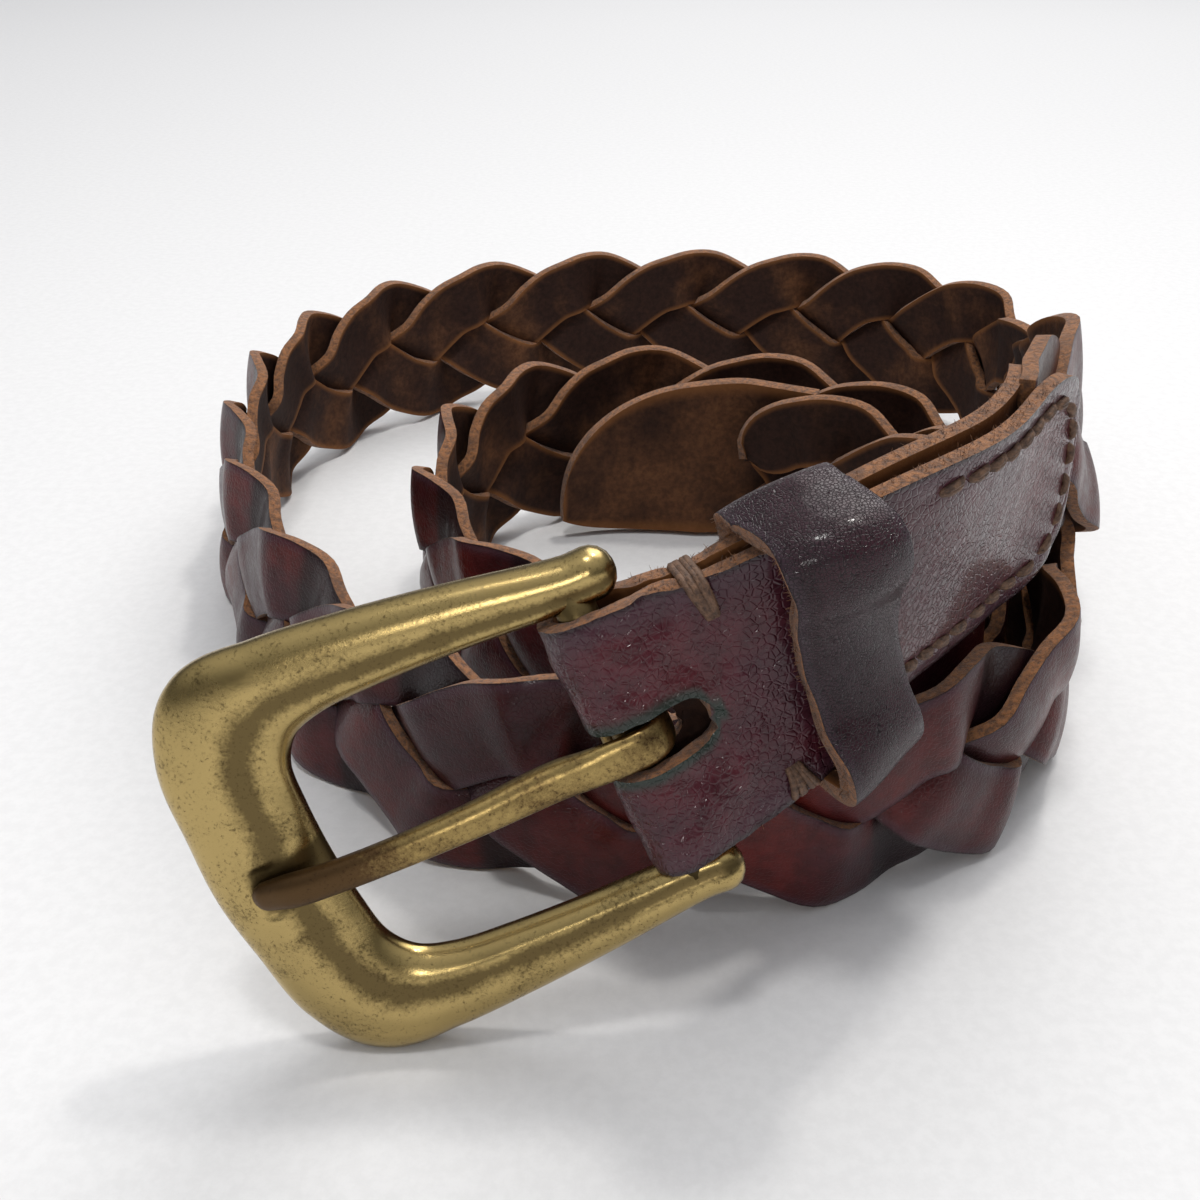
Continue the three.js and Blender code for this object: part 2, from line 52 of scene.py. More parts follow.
# x, y, lift, lean in degrees, lobes of the braid counted from the tab's end
courseRows = [
    (-0.052, -0.5265, 0.649, 14, -2.66), (0.029, -0.51, 0.802, 8, -2.11),
    (0.121, -0.479, 1.038, -3, -1.41), (0.216, -0.403, 1.056, -6, -0.67),
    (0.322, -0.273, 1.04, 6, 0.44), (0.384, -0.17, 0.849, 19, 1.3),
    (0.434, -0.04, 0.475, 17, 2.4), (0.469, 0.12, 0.121, 6, 3.67),
    (0.466, 0.31, 0.06, 0, 5), (0.286, 0.45, 0, 0, 6.7),
    (-0.055, 0.463, 0, 0, 8.85), (-0.345, 0.35, 0, 0, 10.85),
    (-0.46, 0.2, 0, 3, 12.25), (-0.47, 0, 0, 6, 13.85),
    (-0.41, -0.16, 0, 8, 15.15), (-0.298, -0.312, 0, 8, 16.45),
    (-0.145, -0.42, 0, 4, 17.65), (0.045, -0.45, 0, 0, 18.85),
    (0.208, -0.425, 0, 0, 19.85), (0.325, -0.345, 0, 0, 20.8),
    (0.372, -0.222, 0, 4, 21.8), (0.35, -0.075, 0, 2, 22.95),
    (0.265, 0.05, 0, 0, 24.1), (0.12, 0.128, 0, 0, 25.2),
    (-0.06, 0.13, 0, 0, 26.3), (-0.195, 0.035, 0, 0, 27.45),
    (-0.23, -0.12, 0, 0, 28.7), (-0.15, -0.265, 0, 0, 29.95),
    (0, -0.36, 0, 0, 31.15), (0.15, -0.38, 0, 0, 32.1),
    (0.272, -0.31, 0, 0, 33.05), (0.32, -0.19, 0, 0, 34.05),
    (0.285, -0.06, 0, 0, 35.2), (0.195, 0.022, 0, 0, 36.1),
    (0.085, 0.06, 0, 0, 36.9), (-0.03, 0.07, 0, 0, 37.65),
    (-0.13, 0.052, 0, 0, 38.35),
]


def smoothStep(value):
    value = np.clip(value, 0, 1)
    return value * value * (3 - 2 * value)


def mixed(a, b, share):
    return a + (b - a) * share


def splineThrough(points, share, closed=False, centripetal=True):
    count = len(points)
    spot = (count if closed else count - 1) * share
    first = int(math.floor(spot))
    part = spot - first
    if not closed and first >= count - 1:
        first, part = count - 2, 1.0
    pick = lambda k: points[k % count]
    b, c = pick(first), pick(first + 1)
    a = pick(first - 1) if closed or first > 0 else 2 * points[0] - points[1]
    d = pick(first + 2) if closed or first + 2 < count else 2 * points[-1] - points[-2]
    leave, arrive = 0.5 * (c - a), 0.5 * (d - b)
    if centripetal:
        near = math.sqrt(np.linalg.norm(c - b))
        before = math.sqrt(np.linalg.norm(b - a))
        after = math.sqrt(np.linalg.norm(d - c))
        leave = ((b - a) / before - (c - a) / (before + near) + (c - b) / near) * near
        arrive = ((c - b) / near - (d - b) / (near + after) + (d - c) / after) * near
    bend = -3 * b + 3 * c - 2 * leave - arrive
    twist = 2 * b - 2 * c + leave + arrive
    return b + part * (leave + part * (bend + part * twist))


def makeCourse():
    places, traits = [], []
    for x, y, lift, lean, lobe in courseRows:
        foot = belt["width"] / 2 * math.cos(math.radians(lean))
        places.append(np.array([x * belt["coil"][0], y * belt["coil"][1], foot + lift * belt["width"]]))
        traits.append(np.array([lean, lobe], float))
    count = len(courseRows) * 40
    shares = [k / count for k in range(count + 1)]
    line = np.array([splineThrough(places, s) for s in shares]) + np.array(belt["shift"])
    trait = np.array([splineThrough(traits, s, centripetal=False) for s in shares])
    tangent = np.gradient(line, axis=0)
    tangent /= np.linalg.norm(tangent, axis=1)[:, None]
    steps = np.linalg.norm(np.diff(line, axis=0), axis=1)
    arc = np.concatenate([[0], np.cumsum(steps)])
    return {"arc": arc, "line": line, "tangent": tangent, "lean": trait[:, 0], "lobe": trait[:, 1]}


course = makeCourse()


def arcAtLobe(lobe):
    return np.interp(lobe, course["lobe"], course["arc"])


def alongBelt(arc):
    # place, rise across the belt, and the way out of the coil, at a distance along the belt
    arc = np.asarray(arc, float)
    field = lambda key: np.stack([np.interp(arc, course["arc"], course[key][:, k]) for k in range(3)], -1)
    along = field("tangent")
    point = field("line")
    early = np.minimum(arc, 0)[..., None] * course["tangent"][0]
    late = np.maximum(arc - course["arc"][-1], 0)[..., None] * course["tangent"][-1]
    point = point + early + late
    along /= np.linalg.norm(along, axis=-1, keepdims=True)
    upright = np.array([0, 0, 1.0]) - along * along[..., 2:3]
    upright /= np.linalg.norm(upright, axis=-1, keepdims=True)
    side = np.cross(along, upright)
    lean = np.radians(np.interp(arc, course["arc"], course["lean"]))[..., None]
    rise = upright * np.cos(lean) - side * np.sin(lean)
    outward = side * np.cos(lean) + upright * np.sin(lean)
    return point, along, rise, outward


def place(arc, above, out):
    arc, above, out = np.broadcast_arrays(np.asarray(arc, float), above, out)
    point, along, rise, outward = alongBelt(arc)
    return point + rise * above[..., None] + outward * out[..., None]


# Meshes
def newPiece(name, verts, faces, materials, marks=None):
    mesh = bpy.data.meshes.new(name)
    mesh.from_pydata([tuple(v) for v in np.asarray(verts) * 0.001], [], faces)
    for material in materials:
        mesh.materials.append(material)
    for key, values in (marks or {}).items():
        layer = mesh.attributes.new(key, "FLOAT", "POINT")
        layer.data.foreach_set("value", np.asarray(values, np.float32))
    mesh.polygons.foreach_set("use_smooth", [True] * len(mesh.polygons))
    mesh.update()
    piece = bpy.data.objects.new(name, mesh)
    bpy.context.scene.collection.objects.link(piece)
    return piece


def gridFaces(rows, columns, closedRows=False, keep=None, turned=False):
    faces = []
    for r in range(rows if closedRows else rows - 1):
        after = (r + 1) % rows
        for c in range(columns - 1):
            if keep is None or keep(r, c):
                face = (r * columns + c, after * columns + c, after * columns + c + 1, r * columns + c + 1)
                faces.append(face[::-1] if turned else face)
    return faces


def thicken(piece, thickness, edgeRound, steps=2):
    # the sheet's own face is the grain; the copy behind it is the flesh side, and the rim is the cut edge
    solid = piece.modifiers.new("Thickness", "SOLIDIFY")
    solid.thickness = thickness * 0.001
    solid.offset = 0
    solid.use_even_offset = False
    solid.material_offset = 1
    solid.material_offset_rim = 2
    rounding = piece.modifiers.new("RoundedEdge", "BEVEL")
    rounding.width = edgeRound * 0.001
    rounding.segments = steps
    rounding.limit_method = "ANGLE"
    rounding.angle_limit = math.radians(55)


def standFor(piece, body, node):
    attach(piece, body)
    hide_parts(node)


def sewOn(piece):
    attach(piece, "belt")


def ringsToFaces(rings, size):
    faces = []
    for r in range(rings - 1):
        for s in range(size):
            t = (s + 1) % size
            faces.append((r * size + s, r * size + t, (r + 1) * size + t, (r + 1) * size + s))
    faces.append(tuple(range(size))[::-1])
    faces.append(tuple((rings - 1) * size + s for s in range(size)))
    return faces


def tubeParts(path, radii, sides, up):
    path = np.asarray(path, float)
    radii = np.broadcast_to(np.asarray(radii, float), (len(path),))
    direction = np.gradient(path, axis=0)
    direction /= np.linalg.norm(direction, axis=1)[:, None] + 1e-12
    guide = np.asarray(up, float)
    verts = []
    for spot, way, radius in zip(path, direction, radii):
        across = np.cross(way, guide)
        across /= np.linalg.norm(across) + 1e-12
        top = np.cross(across, way)
        for k in range(sides):
            angle = 2 * math.pi * k / sides
            verts.append(spot + across * math.cos(angle) * radius + top * math.sin(angle) * radius)
    return verts, ringsToFaces(len(path), sides)


def gather(parts):
    verts, faces = [], []
    for partVerts, partFaces in parts:
        start = len(verts)
        verts.extend(partVerts)
        faces.extend([tuple(start + v for v in face) for face in partFaces])
    return verts, faces


def ripple(point, size, seed):
    return noise.noise(Vector((point[0] / size + seed, point[1] / size - seed, point[2] / size + 2 * seed)))


# Finishes
def newSurface(name):
    material = bpy.data.materials.new(name)
    material.use_nodes = True
    tree = material.node_tree
    where = tree.nodes.new("ShaderNodeTexCoord").outputs["Object"]
    return material, tree, where, tree.nodes["Principled BSDF"]


def setSockets(node, values):
    for key, value in values.items():
        node.inputs[key].default_value = value


def noiseNode(tree, where, scale, detail, rough, distort=0.0):
    texture = tree.nodes.new("ShaderNodeTexNoise")
    setSockets(texture, {"Scale": scale, "Detail": detail, "Roughness": rough, "Distortion": distort})
    tree.links.new(where, texture.inputs["Vector"])
    return texture.outputs["Fac"]


def cellNode(tree, where, scale):
    texture = tree.nodes.new("ShaderNodeTexVoronoi")
    texture.feature = "DISTANCE_TO_EDGE"
    setSockets(texture, {"Scale": scale})
    tree.links.new(where, texture.inputs["Vector"])
    return texture.outputs["Distance"]


def rampNode(tree, source, stops):
    ramp = tree.nodes.new("ShaderNodeValToRGB")
    while len(ramp.color_ramp.elements) < len(stops):
        ramp.color_ramp.elements.new(0.5)
    for element, (spot, colour) in zip(ramp.color_ramp.elements, stops):
        element.position = spot
        element.color = (*colour, 1)
    tree.links.new(source, ramp.inputs["Fac"])
    return ramp.outputs["Color"]


def mixNode(tree, factor, a, b, mode="MIX"):
    mix = tree.nodes.new("ShaderNodeMix")
    mix.data_type = "RGBA"
    mix.blend_type = mode
    mix.clamp_factor = True
    for socket, value in ((mix.inputs["Factor"], factor), (mix.inputs[6], a), (mix.inputs[7], b)):
        if isinstance(value, bpy.types.NodeSocket):
            tree.links.new(value, socket)
        elif isinstance(value, (int, float)):
            socket.default_value = value
        else:
            socket.default_value = (*value, 1)
    return mix.outputs[2]


def mathNode(tree, operation, a, b):
    node = tree.nodes.new("ShaderNodeMath")
    node.operation = operation
    for socket, value in ((node.inputs[0], a), (node.inputs[1], b)):
        if isinstance(value, bpy.types.NodeSocket):
            tree.links.new(value, socket)
        else:
            socket.default_value = value
    return node.outputs[0]


def rangeNode(tree, source, low, high, toLow=0.0, toHigh=1.0):
    node = tree.nodes.new("ShaderNodeMapRange")
    node.interpolation_type = "SMOOTHSTEP"
    setSockets(node, {"From Min": low, "From Max": high, "To Min": toLow, "To Max": toHigh})
    tree.links.new(source, node.inputs["Value"])
    return node.outputs["Result"]


def markNode(tree, key):
    node = tree.nodes.new("ShaderNodeAttribute")
    node.attribute_name = key
    return node.outputs["Fac"]


def bumpNode(tree, height, strength, depth, under=None):
    bump = tree.nodes.new("ShaderNodeBump")
    setSockets(bump, {"Strength": strength, "Distance": depth})
    tree.links.new(height, bump.inputs["Height"])
    if under is not None:
        tree.links.new(under, bump.inputs["Normal"])
    return bump.outputs["Normal"]


leatherColours = {
    "aubergine": (0.034, 0.007, 0.010),
    "oxblood": (0.110, 0.014, 0.011),
    # lilacGrey is the colour of the painted sheen on strap and tab
    "lilacGrey": (0.055, 0.026, 0.038),
    "nearBlack": (0.008, 0.005, 0.006),
    "fleshDark": (0.030, 0.012, 0.0075),
    "fleshTan": (0.150, 0.062, 0.026),
    "edgeTan": (0.330, 0.130, 0.038),
    "edgeDark": (0.090, 0.036, 0.014),
    "verdigris": (0.012, 0.030, 0.022),
}


def grainLeather(name, settings):
    # scales count features to the metre, and depths are in metres
    material, tree, where, shader = newSurface(name)
    broad = noiseNode(tree, where, 45, 3, 0.5)
    fine = noiseNode(tree, where, 420, 5, 0.65)
    patch = rangeNode(tree, broad, 0.5 - settings["patchAmount"] / 3, 0.72)
    colour = mixNode(tree, patch, settings["base"], settings["patch"])
    # painted sheen: blotches mixed towards the sheen colour stand in for a grey-lilac reflection
    paintedSheen = rangeNode(tree, noiseNode(tree, where, 70, 4, 0.6), 0.42, 0.75)
    paintedSheen = mathNode(tree, "MULTIPLY", paintedSheen, settings["sheenAmount"])
    colour = mixNode(tree, paintedSheen, colour, settings["sheenColour"])
    shade = rangeNode(tree, fine, 0.3, 0.7, 0.72, 1.18)
    colour = mixNode(tree, 1.0, colour, shade, "MULTIPLY")
    edge = markNode(tree, "edge")
    # edges lightened towards the sheen colour: partly rubbed wear, partly painted sheen along the edges
    worn = rangeNode(tree, edge, 0.72, 0.93, 0.0, 0.55)
    colour = mixNode(tree, worn, colour, settings["sheenColour"])
    rim = rangeNode(tree, edge, 0.93, 1.0, 0.0, 0.75)
    colour = mixNode(tree, rim, colour, leatherColours["nearBlack"])
    # painted shade: darkened towards near-black where a strap dives under its neighbour
    deep = rangeNode(tree, markNode(tree, "deep"), 0.1, 1.0, 0.0, 0.8)
    colour = mixNode(tree, deep, colour, leatherColours["nearBlack"])
    cells = cellNode(tree, where, settings["pebble"])
    pores = rangeNode(tree, cells, 0.02, 0.16)
    if settings.get("poreShade"):
        darker = rangeNode(tree, cells, 0.0, 0.12, settings["poreShade"], 0.0)
        colour = mixNode(tree, darker, colour, leatherColours["nearBlack"])
    if settings.get("slotGreen"):
        green = rangeNode(tree, markNode(tree, "slot"), 0.2, 1.0, 0.0, settings["slotGreen"])
        colour = mixNode(tree, green, colour, leatherColours["verdigris"])
    tree.links.new(colour, shader.inputs["Base Color"])
    rough = rangeNode(tree, fine, 0.25, 0.75, settings["roughness"] - 0.07, settings["roughness"] + 0.09)
    tree.links.new(rough, shader.inputs["Roughness"])
    normal = bumpNode(tree, pores, 0.55, settings["pebbleDepth"])
    creases = noiseNode(tree, where, settings["crease"], settings["creaseDetail"], 0.55, distort=0.6)
    normal = bumpNode(tree, creases, 0.8, settings["creaseDepth"], normal)
    if settings.get("creaseMark"):
        hold = rangeNode(tree, markNode(tree, settings["creaseMark"]), 0.0, 1.0, 0.06, 1.0)
        tree.links.new(hold, normal.node.inputs["Strength"])
    tree.links.new(normal, shader.inputs["Normal"])
    tree.links.new(normal, shader.inputs["Coat Normal"])
    setSockets(shader, {"Coat Weight": settings["coat"], "Coat Roughness": settings["coatRoughness"],
                        "Specular IOR Level": settings["specular"]})
    return material


def fleshLeather(name, tan):
    material, tree, where, shader = newSurface(name)
    broad = rangeNode(tree, noiseNode(tree, where, 60, 4, 0.6), 0.62 - tan * 0.3, 0.8)
    nap = noiseNode(tree, where, 900, 6, 0.7)
    colour = mixNode(tree, broad, leatherColours["fleshDark"], leatherColours["fleshTan"])
    colour = mixNode(tree, 1.0, colour, rangeNode(tree, nap, 0.3, 0.7, 0.6, 1.25), "MULTIPLY")
    edge = markNode(tree, "edge")
    colour = mixNode(tree, rangeNode(tree, edge, 0.8, 1.0, 0.0, 0.5), colour, leatherColours["edgeTan"])
    tree.links.new(colour, shader.inputs["Base Color"])
    setSockets(shader, {"Roughness": 0.72, "Specular IOR Level": 0.2})
    tree.links.new(bumpNode(tree, nap, 0.7, 0.00025), shader.inputs["Normal"])
    return material


def cutEdge(name):
    material, tree, where, shader = newSurface(name)
    fibre = noiseNode(tree, where, 1300, 6, 0.75)
    clump = noiseNode(tree, where, 300, 4, 0.6)
    pale = rangeNode(tree, fibre, 0.35, 0.62)
    colour = mixNode(tree, pale, leatherColours["edgeDark"], leatherColours["edgeTan"])
    dark = rangeNode(tree, clump, 0.45, 0.75, 0.0, 0.7)
    colour = mixNode(tree, dark, colour, leatherColours["edgeDark"])
    tree.links.new(colour, shader.inputs["Base Color"])
    setSockets(shader, {"Roughness": 0.85, "Sheen Weight": 0.2})
    height = mathNode(tree, "ADD", fibre, clump)
    tree.links.new(bumpNode(tree, height, 0.9, 0.0005), shader.inputs["Normal"])
    return material


def oldBrass(name, settings):
    material, tree, where, shader = newSurface(name)
    speck = noiseNode(tree, where, 2400, 5, 0.75)
    cloud = noiseNode(tree, where, 130, 6, 0.7, distort=0.4)
    valley = markNode(tree, "valley")
    worn = mathNode(tree, "ADD", cloud, mathNode(tree, "MULTIPLY", speck, 0.55))
    worn = mathNode(tree, "ADD", worn, mathNode(tree, "MULTIPLY", valley, 0.55))
    tarnish = rangeNode(tree, worn, settings["tarnishFrom"], settings["tarnishFrom"] + 0.42)
    colour = mixNode(tree, tarnish, settings["bright"], settings["dull"])
    pits = mathNode(tree, "ADD", speck, mathNode(tree, "MULTIPLY", cloud, 0.35))
    spots = rangeNode(tree, pits, 0.72, 0.84)
    colour = mixNode(tree, mathNode(tree, "MULTIPLY", spots, 0.55), colour, settings["spot"])
    colour = mixNode(tree, markNode(tree, "blemish"), colour, settings["spot"])
    tree.links.new(colour, shader.inputs["Base Color"])
    setSockets(shader, {"Metallic": 1.0})
    rough = rangeNode(tree, worn, 0.5, 1.2, settings["roughness"], settings["roughness"] + 0.22)
    tree.links.new(rough, shader.inputs["Roughness"])
    tree.links.new(bumpNode(tree, speck, 0.25, 0.00006), shader.inputs["Normal"])
    return material


def waxedThread(name, dark, pale):
    material, tree, where, shader = newSurface(name)
    fibre = noiseNode(tree, where, 1500, 5, 0.7)
    colour = mixNode(tree, rangeNode(tree, fibre, 0.3, 0.7), dark, pale)
    tree.links.new(colour, shader.inputs["Base Color"])
    setSockets(shader, {"Roughness": 0.6})
    tree.links.new(bumpNode(tree, fibre, 0.8, 0.0003), shader.inputs["Normal"])
    return material


# sheenColour and sheenAmount set each grain's painted sheen
strapGrain = grainLeather("strapGrain", {
    "base": leatherColours["aubergine"], "patch": leatherColours["oxblood"], "patchAmount": 0.5,
    "sheenColour": leatherColours["lilacGrey"], "sheenAmount": 0.22, "roughness": 0.34,
    "pebble": 1500, "pebbleDepth": 0.00005, "crease": 160, "creaseDepth": 0.0003,
    "creaseDetail": 6, "coat": 0.22, "coatRoughness": 0.12, "specular": 0.14})
tabGrain = grainLeather("tabGrain", {
    "base": (0.052, 0.011, 0.019), "patch": (0.092, 0.014, 0.018), "patchAmount": 0.6,
    "sheenColour": leatherColours["lilacGrey"], "sheenAmount": 0.3, "roughness": 0.33, "slotGreen": 0.9,
    "pebble": 1100, "pebbleDepth": 0.00012, "crease": 330, "creaseDepth": 0.0005, "creaseMark": "fold",
    "creaseDetail": 3, "specular": 0.1, "coat": 0.55, "coatRoughness": 0.09})
keeperGrain = grainLeather("keeperGrain", {
    "base": (0.026, 0.009, 0.014), "patch": (0.042, 0.010, 0.015), "patchAmount": 0.4,
    "sheenColour": (0.055, 0.034, 0.046), "sheenAmount": 0.35, "roughness": 0.32, "poreShade": 0.85,
    "pebble": 2600, "pebbleDepth": 0.00025, "crease": 130, "creaseDepth": 0.0003,
    "creaseDetail": 6, "coat": 0.35, "coatRoughness": 0.1, "specular": 0.1})
fleshSide = fleshLeather("fleshSide", 0.55)
tipFlesh = fleshLeather("tipFlesh", 0.95)
tanEdge = cutEdge("tanEdge")
brassFinish = oldBrass("frameBrass", {
    "bright": (0.440, 0.325, 0.130), "dull": (0.150, 0.108, 0.045), "spot": (0.060, 0.040, 0.018),
    "tarnishFrom": 0.74, "roughness": 0.17})
prongFinish = oldBrass("prongBrass", {
    "bright": (0.370, 0.265, 0.100), "dull": (0.100, 0.058, 0.026), "spot": (0.035, 0.020, 0.012),
    "tarnishFrom": 0.62, "roughness": 0.25})
threadFinish = waxedThread("waxedThread", (0.045, 0.021, 0.012), (0.190, 0.100, 0.055))
print("finishes made")

# Three straps, plaited
strap = {
    "width": 13.0,
    "laneWidth": 10.1,     # where the three lie side by side
    "thickness": 1.9,
    "swing": 10.0,         # how far a strap's middle swings from the belt's middle
    "over": 2.4,           # how far it goes out and in, times the weave's shares
    "crown": 0.6,          # the leather's own bow across the strap
    "perLobe": 6,          # steps of the weave in a lobe
    "between": 4,          # rows of the mesh in a step
    "columns": 11,
    "endRound": 6.5,       # length of the tail end's rounding
    "bevel": 0.28,
    "tailLift": 0.6,       # how far the last lobes lie in front of the tip's leaf
    # out and tilt at each step of the first quarter of a strap's wave
    "weave": ((0, 0), (0.9, 0), (0.55, 0.02), (0.6, 0.03), (0.62, 0.3)),
    "nodes": ("strap_upper", "strap_lower", "strap_middle"),
}


def weaveAt(station):
    # the table is run forth, back and forth again with its signs turned
    turn = station % 18
    step = turn % 9
    out, tilt = strap["weave"][9 - step if step > 4.5 else step]
    return (-out if step > 4.5 else out), (-tilt if turn >= 9 else tilt)


def makeStrap(number):
    perLobe = strap["perLobe"]
    first = round((belt["firstLobe"] - belt["laneRun"]) * perLobe)
    last = round((belt["lastLobe"] + belt["laneRun"]) * perLobe)
    stations = np.arange(first, last + 1)
    held = np.maximum(stations, round(belt["firstLobe"] * perLobe))
    weave = np.array([weaveAt(int(station) + number * perLobe) for station in held])
    spots = np.linspace(first, last, (last - first) * strap["between"] + 1)
    shares = [k / (len(spots) - 1) for k in range(len(spots))]
    smooth = np.array([splineThrough(list(weave), share, centripetal=False) for share in shares])
    lobes = spots / perLobe
    woven = np.maximum(lobes, belt["firstLobe"])
    angle = 2 * math.pi * (woven + number) / 3
    inWeave = smoothStep(1 - np.abs(lobes - woven) / belt["laneRun"])
    lane = round(math.cos(2 * math.pi * (belt["firstLobe"] + number) / 3)) * belt["width"] / 3
    arc = arcAtLobe(lobes)
    above = mixed(lane, strap["swing"] * np.cos(angle), inWeave)
    slant = np.arctan2(np.gradient(above, lobes), np.gradient(arc, lobes)) * inWeave
    full = mixed(0.5, 1.0, smoothStep(lobes - belt["firstLobe"]))
    lifted = -strap["over"] * full * np.minimum(1, 3 * inWeave)
    out = smooth[:, 0] * lifted - strap["tailLift"] * smoothStep(lobes - last / perLobe + 1.5)
    tilt = smooth[:, 1] * lifted
    drift = np.array([noise.noise(Vector((lobe * 0.9, number * 7.3, 0))) for lobe in lobes])
    width = mixed(strap["laneWidth"], strap["width"], inWeave) * (1 + 0.035 * drift)
    endRun = np.clip((arc[-1] - arc) / strap["endRound"], 0, 1)
    width *= np.sqrt(np.maximum(0.002, 1 - (1 - endRun) ** 2))
    across = np.linspace(-0.5, 0.5, strap["columns"])
    crown = strap["crown"] * (0.4 - (2 * across) ** 2)
    points = place(
        arc[:, None] - np.sin(slant)[:, None] * across * width[:, None],
        above[:, None] + np.cos(slant)[:, None] * across * width[:, None],
        out[:, None] + 2 * across * tilt[:, None] + crown[None, :] * full[:, None] + 0.1 * drift[:, None])
    edge = np.broadcast_to(np.abs(2 * across), points.shape[:2])
    # deep is where the strap dives under its neighbour; the grain finish paints shade there
    deep = np.broadcast_to(smoothStep(-out / 1.6)[:, None], points.shape[:2])
    rows, columns = points.shape[:2]
    piece = newPiece("strap%d" % (number + 1), points.reshape(-1, 3), gridFaces(rows, columns),
                     [strapGrain, fleshSide, tanEdge],
                     marks={"edge": edge.reshape(-1), "deep": deep.reshape(-1)})
    thicken(piece, strap["thickness"], strap["bevel"])
    standFor(piece, "belt", strap["nodes"][number])


for number in range(3):
    makeStrap(number)
print("straps plaited")

# The tail's tip: a leaf of leather that closes the braid
tip = {
    "length": 36.0, "thickness": 2.3, "bevel": 0.3,
    "lap": 12.0,           # how far the leaf runs behind the straps' ends
    "lapOut": 2.1,         # how far behind them it lies
    "cup": 0.9,            # its bow across
    "curve": 2.3,          # power of the top edge's sweep
}


def makeTip():
    start = arcAtLobe(belt["lastLobe"] + belt["laneRun"]) + 0.3
    rows = np.sin(np.linspace(0, 1, 44) * math.pi / 2)
    shares = np.concatenate([[-tip["lap"] / tip["length"]], rows])
    inside = np.clip(shares, 0, 1)
    bottom = -belt["width"] / 2 + 0.1 * belt["width"] * inside ** 6
    sweep = (1 - 0.995 * inside ** tip["curve"]) ** (1 / tip["curve"])
    top = bottom + belt["width"] * np.maximum(0.06, 0.985 * sweep)
    across = np.linspace(0, 1, 17)
    above = bottom[:, None] + (top - bottom)[:, None] * across
    arc = np.broadcast_to((start + shares * tip["length"])[:, None], above.shape)
    cup = tip["cup"] * (1 - (2 * across - 1) ** 2)[None, :] * (1 - inside)[:, None]
    lap = tip["lapOut"] * (1 - smoothStep(inside * 3.4))[:, None]
    points = place(arc, above, cup + lap)
    edge = np.maximum(np.abs(2 * across - 1)[None, :], inside[:, None] ** 6)
    rows, columns = above.shape
    piece = newPiece("tailTip", points.reshape(-1, 3), gridFaces(rows, columns), [strapGrain, tipFlesh, tanEdge],
                     marks={"edge": edge.reshape(-1)})
    thicken(piece, tip["thickness"], tip["bevel"])
    standFor(piece, "belt", "tail_tip")


makeTip()
print("tail tip cut")

# The tab, folded round the bar
tab = {
    "length": 75.0, "width": 30.0, "layer": 1.8, "bevel": 0.25,
    "round": 13.0,                               # length of the rounded end
    "slotWidth": 6.0, "slotFront": 9.0, "slotBack": 6.0,
    "foldTaper": 9.0, "mouth": 17.0,             # where the layers close, and where they open for the straps
    "barRadius": 2.2, "turnGap": 0.4,
    "pocket": 0.9, "mouthGap": 2.93,             # half the gap between the layers, closed and open
    "stitchInset": 3.1, "stitchPitch": 4.1, "stitchLength": 3.3,
    "stitchFrom": 34.5,                          # bar to the first stitch
    "stitchRadius": 0.5, "tackRadius": 0.46, "tackStrands": 5,
    "wrinkleRun": 19.0, "wrinkle": 0.6,          # how far the creases reach, and how deep they are
}
tabEnd = float(arcAtLobe(belt["firstLobe"])) + 1
barArc = tabEnd - tab["length"]
foldInner = tab["barRadius"] + tab["turnGap"]


def tabHalfGap(distance):
    closing = smoothStep(distance / tab["foldTaper"])
    opening = smoothStep((distance - tab["length"] + tab["mouth"]) / tab["mouth"])
    return mixed(mixed(foldInner, tab["pocket"], closing), tab["mouthGap"], opening)


def tabHalfWidth(distance):
    reach = np.clip((np.asarray(distance, float) - tab["length"] + tab["round"]) / tab["round"], 0, 1)
    fold = 0.7 * (1 - smoothStep((np.asarray(distance, float) - 8) / 6))
    return fold + tab["width"] / 2 * np.sqrt(np.maximum(0, 1 - reach ** 2.5)) ** 0.85


def slotHalfAt(distance, end):
    near = np.clip((distance - end + 3.0) / 3.0, 0, 1)
    return tab["slotWidth"] / 2 * np.sqrt(np.maximum(0.0, 1 - near ** 2))


def stitchGroove(distance, above):
    inset = tabHalfWidth(distance) - tab["stitchInset"]
    far = np.abs(np.abs(above) - inset)
    endSpot = tab["length"] - tab["stitchInset"]
    far = np.where(distance > endSpot - 2, np.minimum(far, np.abs(distance - endSpot) + 0.3), far)
    hold = smoothStep((distance - tab["stitchFrom"] + 3) / 3)
    return 0.3 * np.exp(-(far / 0.75) ** 2) * hold


